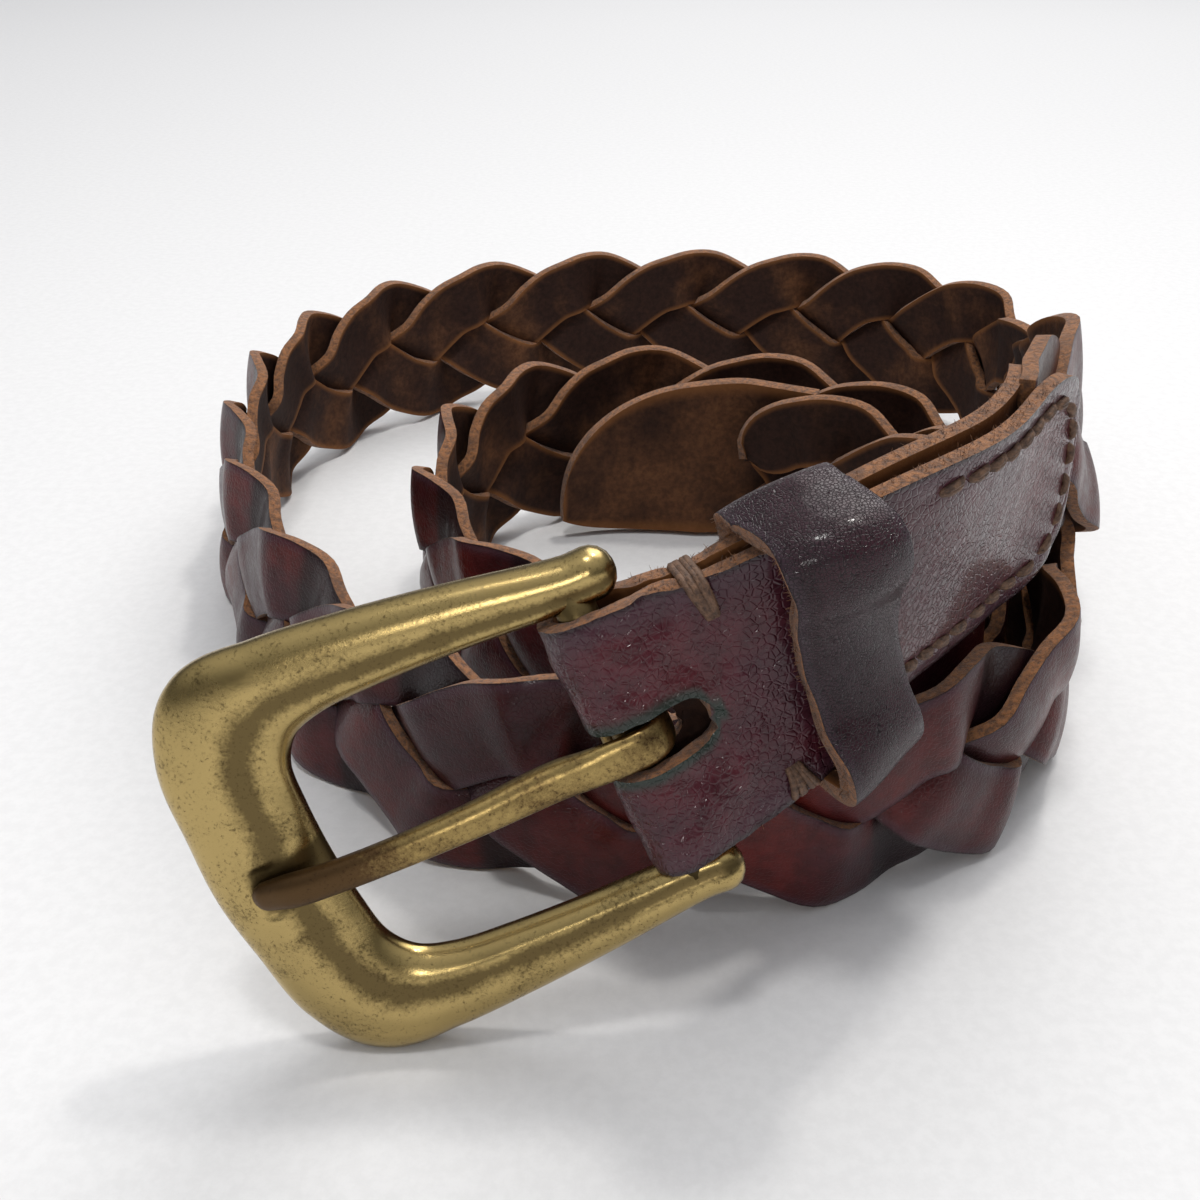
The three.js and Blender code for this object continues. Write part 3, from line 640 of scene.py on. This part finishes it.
def makeTab():
    straight = np.arange(0, tab["length"] - tab["round"], 0.75)
    rounded = tab["length"] - tab["round"] * (1 - np.sin(np.linspace(0, 0.995, 22) * math.pi / 2))
    distances = np.concatenate([straight, rounded])
    turns = np.linspace(math.pi / 2, 3 * math.pi / 2, 15)[1:-1]
    slotColumns = np.linspace(-1, 1, 7)
    outerColumns = np.linspace(0, 1, 20)[1:]
    rows, inSlot, slotMarks, foldMarks = [], [], [], []
    middle = foldInner + tab["layer"] / 2
    for side, run in ((1, distances[::-1]), (0, turns), (-1, distances)):
        for value in run:
            distance = 0.0 if side == 0 else float(value)
            half = float(tabHalfWidth(distance))
            end = tab["slotFront"] if side >= 0 else tab["slotBack"]
            slotHalf = float(slotHalfAt(distance, end)) if distance < end else 0.0
            grow = tab["slotWidth"] / 2 * float(smoothStep((distance - end) / 3)) if distance >= end else 0.0
            inner = min(max(slotHalf, grow, 0.05), half * 0.5)
            inners = slotColumns * inner
            outers = inner + (half - inner) * outerColumns
            above = np.concatenate([-outers[::-1], inners, outers])
            if side == 0:
                arc = barArc + math.cos(value) * middle
                out = math.sin(value) * middle
                points = place(np.full(len(above), arc), above, np.full(len(above), out))
                way = alongBelt(np.array([arc]))
                normal = (way[1][0] * math.cos(value) + way[3][0] * math.sin(value))
            else:
                out = side * (float(tabHalfGap(distance)) + tab["layer"] / 2)
                groove = stitchGroove(distance, above)
                points = place(np.full(len(above), barArc + distance), above, out - side * groove)
                way = alongBelt(np.array([barArc + distance]))
                normal = side * way[3][0]
            creased = tab["wrinkle"] * (1 - smoothStep((distance - tab["wrinkleRun"] + 5) / 6))
            creased *= 0.45 if side == 0 else 1
            for k, spot in enumerate(points):
                rough = ripple(spot, 4.2, 3.1) + 0.35 * ripple(spot, 1.1, 1.7)
                rough += 0.6 * abs(ripple(spot, 2.1, 8.7)) - 0.3
                waviness = 0.25 * ripple(spot, 14, 5.5)
                points[k] = spot + normal * (creased * rough + waviness)
            rows.append(points)
            inSlot.append(distance < end)
            near = np.exp(-((np.abs(above) - max(slotHalf, 0.3)) / 1.6) ** 2)
            slotMarks.append(near * float(distance < end + 1.5))
            foldMarks.append(np.full(len(above), 1 - float(smoothStep((distance - tab["wrinkleRun"] + 4) / 8))))
    columns = rows[0].shape[0]
    middleFrom = len(outerColumns)
    middleTo = middleFrom + len(slotColumns) - 1
    keep = lambda r, c: not (inSlot[r] and inSlot[r + 1] and middleFrom <= c < middleTo)
    verts = np.array(rows).reshape(-1, 3)
    halfEdge = np.linspace(0.2, 1, len(outerColumns))
    edge = np.concatenate([halfEdge[::-1], np.zeros(len(slotColumns)), halfEdge])
    edges = np.broadcast_to(edge, (len(rows), columns))
    piece = newPiece("tabLeather", verts, gridFaces(len(rows), columns, keep=keep, turned=True),
                     [tabGrain, fleshSide, tanEdge],
                     marks={"edge": edges.reshape(-1), "slot": np.array(slotMarks).reshape(-1),
                            "fold": np.array(foldMarks).reshape(-1)})
    thicken(piece, tab["layer"], tab["bevel"])
    standFor(piece, "belt", "tab")


makeTab()
print("tab folded")


# Stitches round the tab, on both faces, and two tacks that hold the fold
def onTab(distance, above, lift, side):
    out = side * (tabHalfGap(np.asarray(distance, float)) + tab["layer"] + lift)
    return place(barArc + np.asarray(distance, float), above, out)


def stitchLine():
    inset = tab["stitchInset"]
    line = []
    for distance in np.arange(tab["stitchFrom"], tab["length"] - tab["round"], 0.5):
        line.append((distance, tab["width"] / 2 - inset))
    for angle in np.linspace(0, math.pi, 60):
        reach = tab["round"] - inset
        away = math.sin(angle) ** 0.8
        aside = math.copysign(abs(math.cos(angle)) ** 0.85, math.cos(angle))
        line.append((tab["length"] - tab["round"] + reach * away, aside * (tab["width"] / 2 - inset)))
    for distance in np.arange(tab["length"] - tab["round"], tab["stitchFrom"], -0.5):
        line.append((distance, -tab["width"] / 2 + inset))
    return np.array(line)


def makeStitches():
    line = stitchLine()
    steps = np.linalg.norm(np.diff(line, axis=0), axis=1)
    run = np.concatenate([[0], np.cumsum(steps)])
    parts = []
    for side in (1, -1):
        starts = np.arange(0.6, run[-1] - tab["stitchLength"], tab["stitchPitch"])
        for start in starts:
            wander = random.uniform(-0.25, 0.25)
            length = tab["stitchLength"] + random.uniform(-0.3, 0.2)
            stops = start + wander + np.linspace(0, length, 9)
            flat = np.stack([np.interp(stops, run, line[:, 0]), np.interp(stops, run, line[:, 1])], -1)
            tilt = np.linspace(-0.25, 0.25, 9) * (1 if side > 0 else -1)
            share = np.linspace(-1, 1, 9)
            lift = 0.18 - 0.95 * share ** 4
            path = onTab(flat[:, 0], flat[:, 1] + tilt, lift, side)
            rises = alongBelt(barArc + flat[:, 0])[2]
            outward = alongBelt(np.array([barArc + flat[4, 0]]))[3][0]
            radii = tab["stitchRadius"] * (1 - 0.35 * share ** 4)
            for strand in (-1, 1):
                shift = 0.24 * strand * np.sin(np.linspace(0.4, 2.6, 9))
                parts.append(tubeParts(path + shift[:, None] * rises, radii, 7, up=outward))
    sewOn(newPiece("tabStitches", *gather(parts), [threadFinish]))


def makeTacks():
    parts = []
    top = tab["width"] / 2
    for edgeSide, distance, drop in ((1, 13.5, 4.6), (-1, 13.0, 4.4)):
        half = float(tabHalfGap(distance)) + tab["layer"]
        for strand in range(tab["tackStrands"]):
            shift = (strand - 2) * 0.58 + 0.2 * math.sin(strand * 2.3)
            path = []
            for share in np.linspace(0, 1, 17):
                if share < 0.42:      # up the front
                    part = share / 0.42
                    lift = 0.25 + 0.55 * math.sin(math.pi * min(1, part * 1.1)) if part > 0.12 else -0.9
                    run, above, out = shift * (1 - 0.65 * (1 - part)), top - drop * (1 - part), half + lift
                elif share < 0.58:    # over the edge
                    part = (share - 0.42) / 0.16
                    run, above, out = shift, top + 0.35, half * (1 - 2 * part)
                else:                 # down the back
                    part = (share - 0.58) / 0.42
                    lift = 0.35 if part < 0.85 else -0.9
                    run, above, out = shift * (1 - 0.5 * part), top - drop * part, -half - lift
                path.append(place(barArc + distance + run, edgeSide * above, out))
            parts.append(tubeParts(np.array(path), tab["tackRadius"], 7, up=(0.3, 0.2, 0.9)))
    sewOn(newPiece("foldTacks", *gather(parts), [threadFinish]))


makeStitches()
makeTacks()
print("tab sewn")

# Keeper
keeper = {
    "width": 13.0, "thickness": 2.2, "gap": 0.6,   # as the loop is cut, for its shape
    "leather": 2.6, "shown": 11.6,                 # thickness and width that the leather shows
    "place": 20.0,                                 # bar to its near edge
    "rise": 3.6, "dip": 3.0,                       # how far its shoulders stand up, and its middle falls
    "slideLow": -4.6, "slideHigh": -2.6,           # moved towards the bar, at the lower and the upper edge
    "points": 132, "bevel": 0.42,
}


def makeKeeper():
    face = float(tabHalfGap(keeper["place"] + keeper["width"] / 2)) + tab["layer"]
    half = tab["width"] / 2 + keeper["gap"] + keeper["thickness"] / 2
    front = face + keeper["gap"] + keeper["thickness"] / 2
    rise = front + keeper["rise"]
    shoulder = mixed(front, rise, 0.7)
    line = [np.array(p, float) for p in (
        (half, 0), (half * 0.96, shoulder), (half * 0.72, rise), (half * 0.36, rise - keeper["dip"] * 0.75),
        (0, rise - keeper["dip"]), (-half * 0.36, rise - keeper["dip"] * 0.75), (-half * 0.72, rise),
        (-half * 0.96, shoulder), (-half, 0), (-half, -face), (-tab["width"] / 2, -front), (0, -front),
        (tab["width"] / 2, -front), (half, -face))]
    count = keeper["points"]
    loop = np.array([splineThrough(line, k / count, closed=True) for k in range(count)])
    across = np.linspace(0, 1, 13)
    middle = barArc + keeper["place"] + keeper["width"] / 2
    centre, axis, _, _ = (value[0] for value in alongBelt(np.array([middle])))
    points, _, rises, _ = alongBelt(middle + keeper["width"] * (across - 0.5))
    aside = points - centre
    aside -= np.outer(aside @ axis, axis)
    rises -= np.outer(rises @ axis, axis)
    rises /= np.linalg.norm(rises, axis=1)[:, None]
    outs = np.cross(axis, rises)
    rows = []
    for k, (above, out) in enumerate(loop):
        nearWave = 0.45 * noise.noise(Vector((k * 0.11, 3.0, 0)))
        farWave = 0.4 * noise.noise(Vector((k * 0.09, 9.0, 0)))
        slide = mixed(keeper["slideLow"], keeper["slideHigh"], above / 34 + 0.5)
        run = keeper["shown"] * (across - 0.5) + mixed(nearWave, farWave, across) + slide
        bow = 0.3 * (1 - (2 * across - 1) ** 2) - 0.15
        high = above + bow * math.copysign(1, above) * smoothStep(abs(above) / 8 - 1)
        deep = out + bow * np.sign(out)
        rows.append(centre + aside + np.outer(run, axis) + rises * high[:, None] + outs * deep[:, None])
    rows = np.array(rows)
    edge = np.broadcast_to(np.abs(2 * across - 1), rows.shape[:2])
    piece = newPiece("keeperLoop", rows.reshape(-1, 3), gridFaces(count, len(across), closedRows=True),
                     [keeperGrain, fleshSide, tanEdge], marks={"edge": edge.reshape(-1)})
    thicken(piece, keeper["leather"], keeper["bevel"], 3)
    standFor(piece, "belt", "keeper")
    return rows[:, 0], axis


keeperEdge = makeKeeper()
print("keeper bent")

# Loose fibres along the cut edges of tab and keeper
fuzz = {
    "length": 0.75, "radius": 0.045, "tab": 1100, "keeper": 700,
    "clear": 7.0,          # bar to the first fibre, so that the arms swing free of them
}


def makeFuzz():
    rng = np.random.default_rng(5)
    parts = []

    def fibre(root, way):
        way = way / np.linalg.norm(way) + rng.normal(0, 0.55, 3)
        way /= np.linalg.norm(way)
        length = fuzz["length"] * rng.uniform(0.35, 1.0)
        curl = rng.normal(0, 0.25, 3) * length
        path = [root, root + way * length * 0.5 + curl * 0.25, root + way * length + curl]
        radii = [fuzz["radius"] * share for share in (1, 0.8, 0.3)]
        parts.append(tubeParts(path, radii, 3, up=(0.31, 0.17, 0.93)))

    for _ in range(fuzz["tab"]):
        distance = float(rng.uniform(fuzz["clear"], tab["length"] - tab["round"]))
        side = 1 if rng.random() < 0.75 else -1
        layer = 1 if rng.random() < 0.6 else -1
        out = layer * (float(tabHalfGap(distance)) + tab["layer"] * float(rng.uniform(0.05, 0.95)))
        edge = float(tabHalfWidth(distance))
        way = alongBelt(np.array([barArc + distance]))[2][0] * side
        fibre(place(barArc + distance, side * (edge - 0.15), out), way)
    loop, axis = keeperEdge
    for _ in range(fuzz["keeper"]):
        spot = rng.uniform(0, len(loop))
        first = int(spot) % len(loop)
        root = mixed(loop[first], loop[(first + 1) % len(loop)], spot % 1)
        away = root - loop.mean(axis=0)
        away -= axis * (away @ axis)
        away /= np.linalg.norm(away)
        fibre(root + away * float(rng.uniform(-0.9, 0.9)) + axis * 0.15, -axis)
    sewOn(newPiece("edgeFibres", *gather(parts), [tanEdge]))


makeFuzz()
print("fibres raised")

# Buckle: its own measures are across, forward from the bar, and out of its face
buckle = {
    "drop": 6.0,                                   # degrees it hangs back from the tab's line
    "reach": 42.6, "flare": 2.4,                   # bar to front bar, and how much wider it is there
    "armWidth": 5.8, "armThickness": 5.2, "armPast": 3.0, "armGap": 0.7,
    "frontWidth": 14.0, "frontThickness": 6.4,
    "valleyAt": 0.30, "valleyWide": 0.20, "valleyDeep": 0.13,   # shares of the section's half size
    "windowFall": 0.10,                            # how much the face falls towards the window
    "blemish": (15.2, 27.0, 3.0), "blemishSize": 1.6,
    "rings": 260, "sides": 40,
    "prongWidth": 4.4, "prongThickness": 3.2, "prongWall": 1.8, "prongSides": 28,
}
barHalf = tab["width"] / 2 + buckle["armGap"] + buckle["armWidth"] / 2


def buckleAxes():
    point, along, rise, outward = (value[0] for value in alongBelt(np.array([barArc])))
    drop = math.radians(buckle["drop"])
    forward = -along * math.cos(drop) - outward * math.sin(drop)
    return point, rise, forward, np.cross(rise, forward)


hangPoint, hangRise, hangForward, hangFace = buckleAxes()


def hang(local):
    local = np.asarray(local, float)
    return hangPoint + local[..., 0:1] * hangRise + local[..., 1:2] * hangForward + local[..., 2:3] * hangFace


# across, forward, width, thickness: shares of the corner's place, the reach, and the way from arm to front bar
frameRows = [
    (0, 1, 1, 1), (0.35, 0.985, 1, 1), (0.72, 0.965, 0.95, 0.9), (0.95, 0.91, 0.78, 0.75),
    (1, 0.76, 0.55, 0.55), (1, 0.55, 0.35, 0.35), (0.965, 0.28, 0.15, 0.15), (0.9, 0, 0, 0),
]
# the window's edge beside each of those rows, in the same shares
windowRows = [
    (0, 0.836), (0.315, 0.83), (0.56, 0.812), (0.70, 0.76),
    (0.765, 0.665), (0.785, 0.516), (0.785, 0.277), (0.762, 0),
]
# forward in shares of the reach, height and size in shares of the prong's own
prongRows = [
    (0.20, 0.98, 1.0), (0.30, 1.12, 0.98), (0.42, 1.4, 0.9), (0.64, 1.62, 0.84),
    (0.82, 1.6, 0.84), (0.93, 1.4, 0.88), (1.0, 1.15, 0.76),
]


def prongUnderside(forward):
    rows = np.array(prongRows)
    middle = np.interp(forward, rows[:, 0] * buckle["reach"], rows[:, 1] * buckle["prongThickness"])
    size = np.interp(forward, rows[:, 0] * buckle["reach"], rows[:, 2]) * buckle["prongThickness"] / 2
    return middle - size


def bothSides(rows):
    # the rows of one half, run on past the bar and mirrored to the other half
    last = rows[-1].copy()
    last[1] = -buckle["armPast"]
    rows = rows + [last]
    return [np.concatenate([[-row[0]], row[1:]]) for row in rows[:0:-1]] + rows


def makeFrame():
    corner = barHalf + buckle["flare"]
    whole = bothSides([np.array([corner * a, buckle["reach"] * f,
                                 mixed(buckle["armWidth"], buckle["frontWidth"], w) / 2,
                                 mixed(buckle["armThickness"], buckle["frontThickness"], t) / 2])
                       for a, f, w, t in frameRows])
    spots = [row[:2] for row in whole]
    sizes = [row[2:] for row in whole]
    count = buckle["rings"]
    shares = np.linspace(0, 1, count)
    line = np.array([splineThrough(spots, s) for s in shares])
    size = np.array([splineThrough(sizes, s, centripetal=False) for s in shares])
    direction = np.gradient(line, axis=0)
    direction /= np.linalg.norm(direction, axis=1)[:, None]
    ends = [(-0.96, 0.22), (-0.85, 0.52), (-0.6, 0.8), (-0.3, 0.95)]    # the arms' rounded ends
    rings, valleys = [], []
    outwards = np.stack([-direction[:, 1], direction[:, 0]], -1)
    rim = line + outwards * size[:, :1]
    inner = bothSides([np.array([corner * a, buckle["reach"] * f]) for a, f in windowRows])
    window = np.array([splineThrough(inner, s) for s in shares])
    line = (rim + window) / 2
    spans = (rim - window) / 2

    def addRing(k, shift, scale):
        along = np.array([direction[k][0], direction[k][1], 0.0])
        outside = np.array([spans[k][0], spans[k][1], 0.0])
        thick = size[k][1]
        centre = np.array([line[k][0], line[k][1], 0.0]) + along * shift * thick
        for s in range(buckle["sides"]):
            angle = 2 * math.pi * (s + 0.5) / buckle["sides"]
            power = 2 / 2.35
            u = math.copysign(abs(math.cos(angle)) ** power, math.cos(angle))
            v = math.copysign(abs(math.sin(angle)) ** power, math.sin(angle))
            low = 0.0
            if v > 0:
                low = math.exp(-((-u - buckle["valleyAt"]) / buckle["valleyWide"]) ** 2)
                v *= 1 - buckle["valleyDeep"] * low * scale
                v -= buckle["windowFall"] * max(0.0, -u) ** 1.5
            else:
                v *= 0.92
            spot = centre + outside * u * scale + np.array([0, 0, 1.0]) * v * thick * scale
            # the seat for the prong's tip
            if v > 0 and abs(spot[0]) < 4.2 and spot[1] > buckle["reach"] * 0.75:
                seat = prongUnderside(spot[1]) - 0.12
                blend = float(smoothStep((3.6 - abs(spot[0])) / 1.2))
                if spot[1] < buckle["reach"] * 1.04:
                    spot[2] = mixed(spot[2], min(spot[2], seat), blend)
                    low = max(low, blend * 0.9)
            rings.append(hang(spot))
            valleys.append(low * (1 if v > 0 else 0))

    for shift, scale in ends:
        addRing(0, shift, scale)
    for k in range(count):
        addRing(k, 0, 1)
    for shift, scale in ends[::-1]:
        addRing(count - 1, -shift, scale)
    rings = np.array(rings)
    valleys = np.array(valleys)
    far = np.linalg.norm(rings - hang(buckle["blemish"]), axis=1)
    blemish = np.clip(buckle["blemishSize"] - far, 0, 1) * 0.8
    faces = ringsToFaces(count + 2 * len(ends), buckle["sides"])
    barPath = hang(np.array([[x, 0, 0] for x in np.linspace(-barHalf, barHalf, 9)]))
    barVerts, barFaces = tubeParts(barPath, tab["barRadius"], 24, up=hangFace)
    start = len(rings)
    verts = np.concatenate([rings, np.array(barVerts)])
    faces += [tuple(start + v for v in face) for face in barFaces]
    piece = newPiece("buckleBrass", verts, faces, [brassFinish],
                     marks={"valley": np.concatenate([valleys, np.full(len(barVerts), 0.8)]),
                            "blemish": np.concatenate([blemish, np.zeros(len(barVerts))])})
    standFor(piece, "frame", "buckle_frame")


def makeProng():
    radius = foldInner + buckle["prongWall"] / 2
    path, sizes = [], []
    for angle in np.linspace(-38, -265, 34):
        turn = math.radians(angle)
        path.append((radius * math.cos(turn), radius * math.sin(turn)))
        sizes.append((buckle["prongWidth"] / 2, buckle["prongWall"] / 2))
    path.append((2.6, radius * 1.03))
    sizes.append((buckle["prongWidth"] / 2, buckle["prongWall"] / 2 * 1.1))
    path.append((5.6, radius * 0.98))
    sizes.append((buckle["prongWidth"] / 2 * 0.99, buckle["prongThickness"] / 2 * 0.85))
    for forward, rise, scale in prongRows:
        path.append((forward * buckle["reach"], rise * buckle["prongThickness"]))
        sizes.append((buckle["prongWidth"] / 2 * scale, buckle["prongThickness"] / 2 * scale))
    path = [np.array(p) for p in path]
    sizes = [np.array(s) for s in sizes]
    shares = np.concatenate([np.linspace(0, 0.8, 70)[:-1], np.linspace(0.8, 1, 40)])
    line = np.array([splineThrough(path, s) for s in shares])
    size = np.array([splineThrough(sizes, s, centripetal=False) for s in shares])
    direction = np.gradient(line, axis=0)
    direction /= np.linalg.norm(direction, axis=1)[:, None]
    rows = [(0, -0.55, 0.6), (0, -0.35, 0.85)] + [(k, 0, 1) for k in range(len(shares))]
    rows += [(len(shares) - 1, s, c) for s, c in ((0.3, 0.95), (0.6, 0.8), (0.85, 0.52), (0.96, 0.22))]
    rings, marks = [], []
    sides = buckle["prongSides"]
    for k, shift, scale in rows:
        along = direction[k]
        normal = np.array([-along[1], along[0]])
        wide, thick = size[k]
        centre = line[k] + along * shift * thick * 1.6
        roundness = 3.2 if k < 40 else 2.4
        for s in range(sides):
            angle = 2 * math.pi * (s + 0.5) / sides
            u = math.copysign(abs(math.cos(angle)) ** (2 / roundness), math.cos(angle))
            v = math.copysign(abs(math.sin(angle)) ** (2 / roundness), math.sin(angle))
            spot = centre + normal * v * thick * scale
            rings.append(hang([u * wide * scale, spot[0], spot[1]]))
            tipShade = float(smoothStep((spot[0] / buckle["reach"] - 0.5) / 0.5))
            marks.append(0.35 * (v < -0.2) + 0.9 * tipShade)
    piece = newPiece("prongBrass", rings, ringsToFaces(len(rows), sides), [prongFinish],
                     marks={"valley": marks, "blemish": np.zeros(len(rings))})
    standFor(piece, "prong", "prong")


makeFrame()
makeProng()
print("buckle cast")

# Table, light and camera
studio = {
    "eye": (-9.0, -216.0, 121.3), "pitch": 31.0, "lens": 39.0,
    "table": (0.75, 0.75, 0.755), "tableHalf": 3000,
    "air": 0.8,
    # the air's colour by height: 0 at the horizon, 1 overhead
    "sky": ((0.0, (0.5, 0.5, 0.51)), (0.06, (0.12, 0.12, 0.125)), (0.25, (0.17, 0.17, 0.18)),
            (0.6, (0.62, 0.63, 0.65)), (1.0, (0.95, 0.96, 1.0))),
    "aim": (0, -0.05, 0.02),
    # kind, place in metres, size (in degrees for the sun), power and colour
    "lamps": (
        ("softSky", "SUN", (0.35, 0.5, 0.9), 45, 0.85, (1.0, 0.985, 0.96)),
        ("softBoxBack", "AREA", (0.25, 0.9, 0.9), 0.8, 5.0, (1.0, 0.99, 0.97)),
        ("softBoxFront", "AREA", (-0.1, -0.2, 0.8), 0.1, 1.5, (1.0, 0.99, 0.97)),
        ("glint", "AREA", (0.12, 0.1, 0.6), 0.05, 0.8, (1.0, 0.97, 0.92)),
        ("lowGlint", "AREA", (-0.05, -0.55, 0.16), 0.05, 0.22, (1.0, 0.98, 0.96)),
    ),
}


def makeStudio():
    material, tree, where, shader = newSurface("paleTable")
    tooth = noiseNode(tree, where, 500, 5, 0.7)
    darker = tuple(0.95 * part for part in studio["table"])
    colour = mixNode(tree, rangeNode(tree, tooth, 0.35, 0.65), darker, studio["table"])
    tree.links.new(colour, shader.inputs["Base Color"])
    setSockets(shader, {"Roughness": 0.7})
    tree.links.new(bumpNode(tree, tooth, 0.08, 0.0001), shader.inputs["Normal"])
    half = studio["tableHalf"]
    corners = [(-half, -half, 0), (half, -half, 0), (half, half, 0), (-half, half, 0)]
    table = newPiece("table", corners, [(0, 1, 2, 3)], [material])
    world = bpy.data.worlds.new("studioAir")
    bpy.context.scene.world = world
    world.use_nodes = True
    air = world.node_tree
    parts = air.nodes.new("ShaderNodeSeparateXYZ")
    air.links.new(air.nodes.new("ShaderNodeTexCoord").outputs["Generated"], parts.inputs[0])
    sky = rampNode(air, parts.outputs["Z"], studio["sky"])
    air.links.new(sky, air.nodes["Background"].inputs["Color"])
    air.nodes["Background"].inputs["Strength"].default_value = studio["air"]
    for name, kind, spot, size, power, colour in studio["lamps"]:
        lamp = bpy.data.lights.new(name, kind)
        if kind == "SUN":
            lamp.angle = math.radians(size)
        else:
            lamp.size = size
        lamp.energy = power
        lamp.color = colour
        holder = bpy.data.objects.new(name, lamp)
        bpy.context.scene.collection.objects.link(holder)
        holder.location = spot
        aim = Vector(studio["aim"]) - Vector(spot)
        holder.rotation_euler = aim.to_track_quat("-Z", "Y").to_euler()
    eye = bpy.data.cameras.new("eye")
    eye.lens = studio["lens"]
    eye.sensor_width = 36
    eye.clip_start = 0.005
    camera = bpy.data.objects.new("eye", eye)
    bpy.context.scene.collection.objects.link(camera)
    camera.location = [(a + b) * 0.001 for a, b in zip(studio["eye"], belt["shift"])]
    camera.rotation_euler = (math.radians(90 - studio["pitch"]), 0, 0)
    bpy.context.scene.camera = camera
    bpy.context.scene.view_settings.view_transform = "Standard"


makeStudio()
print("table and light set")
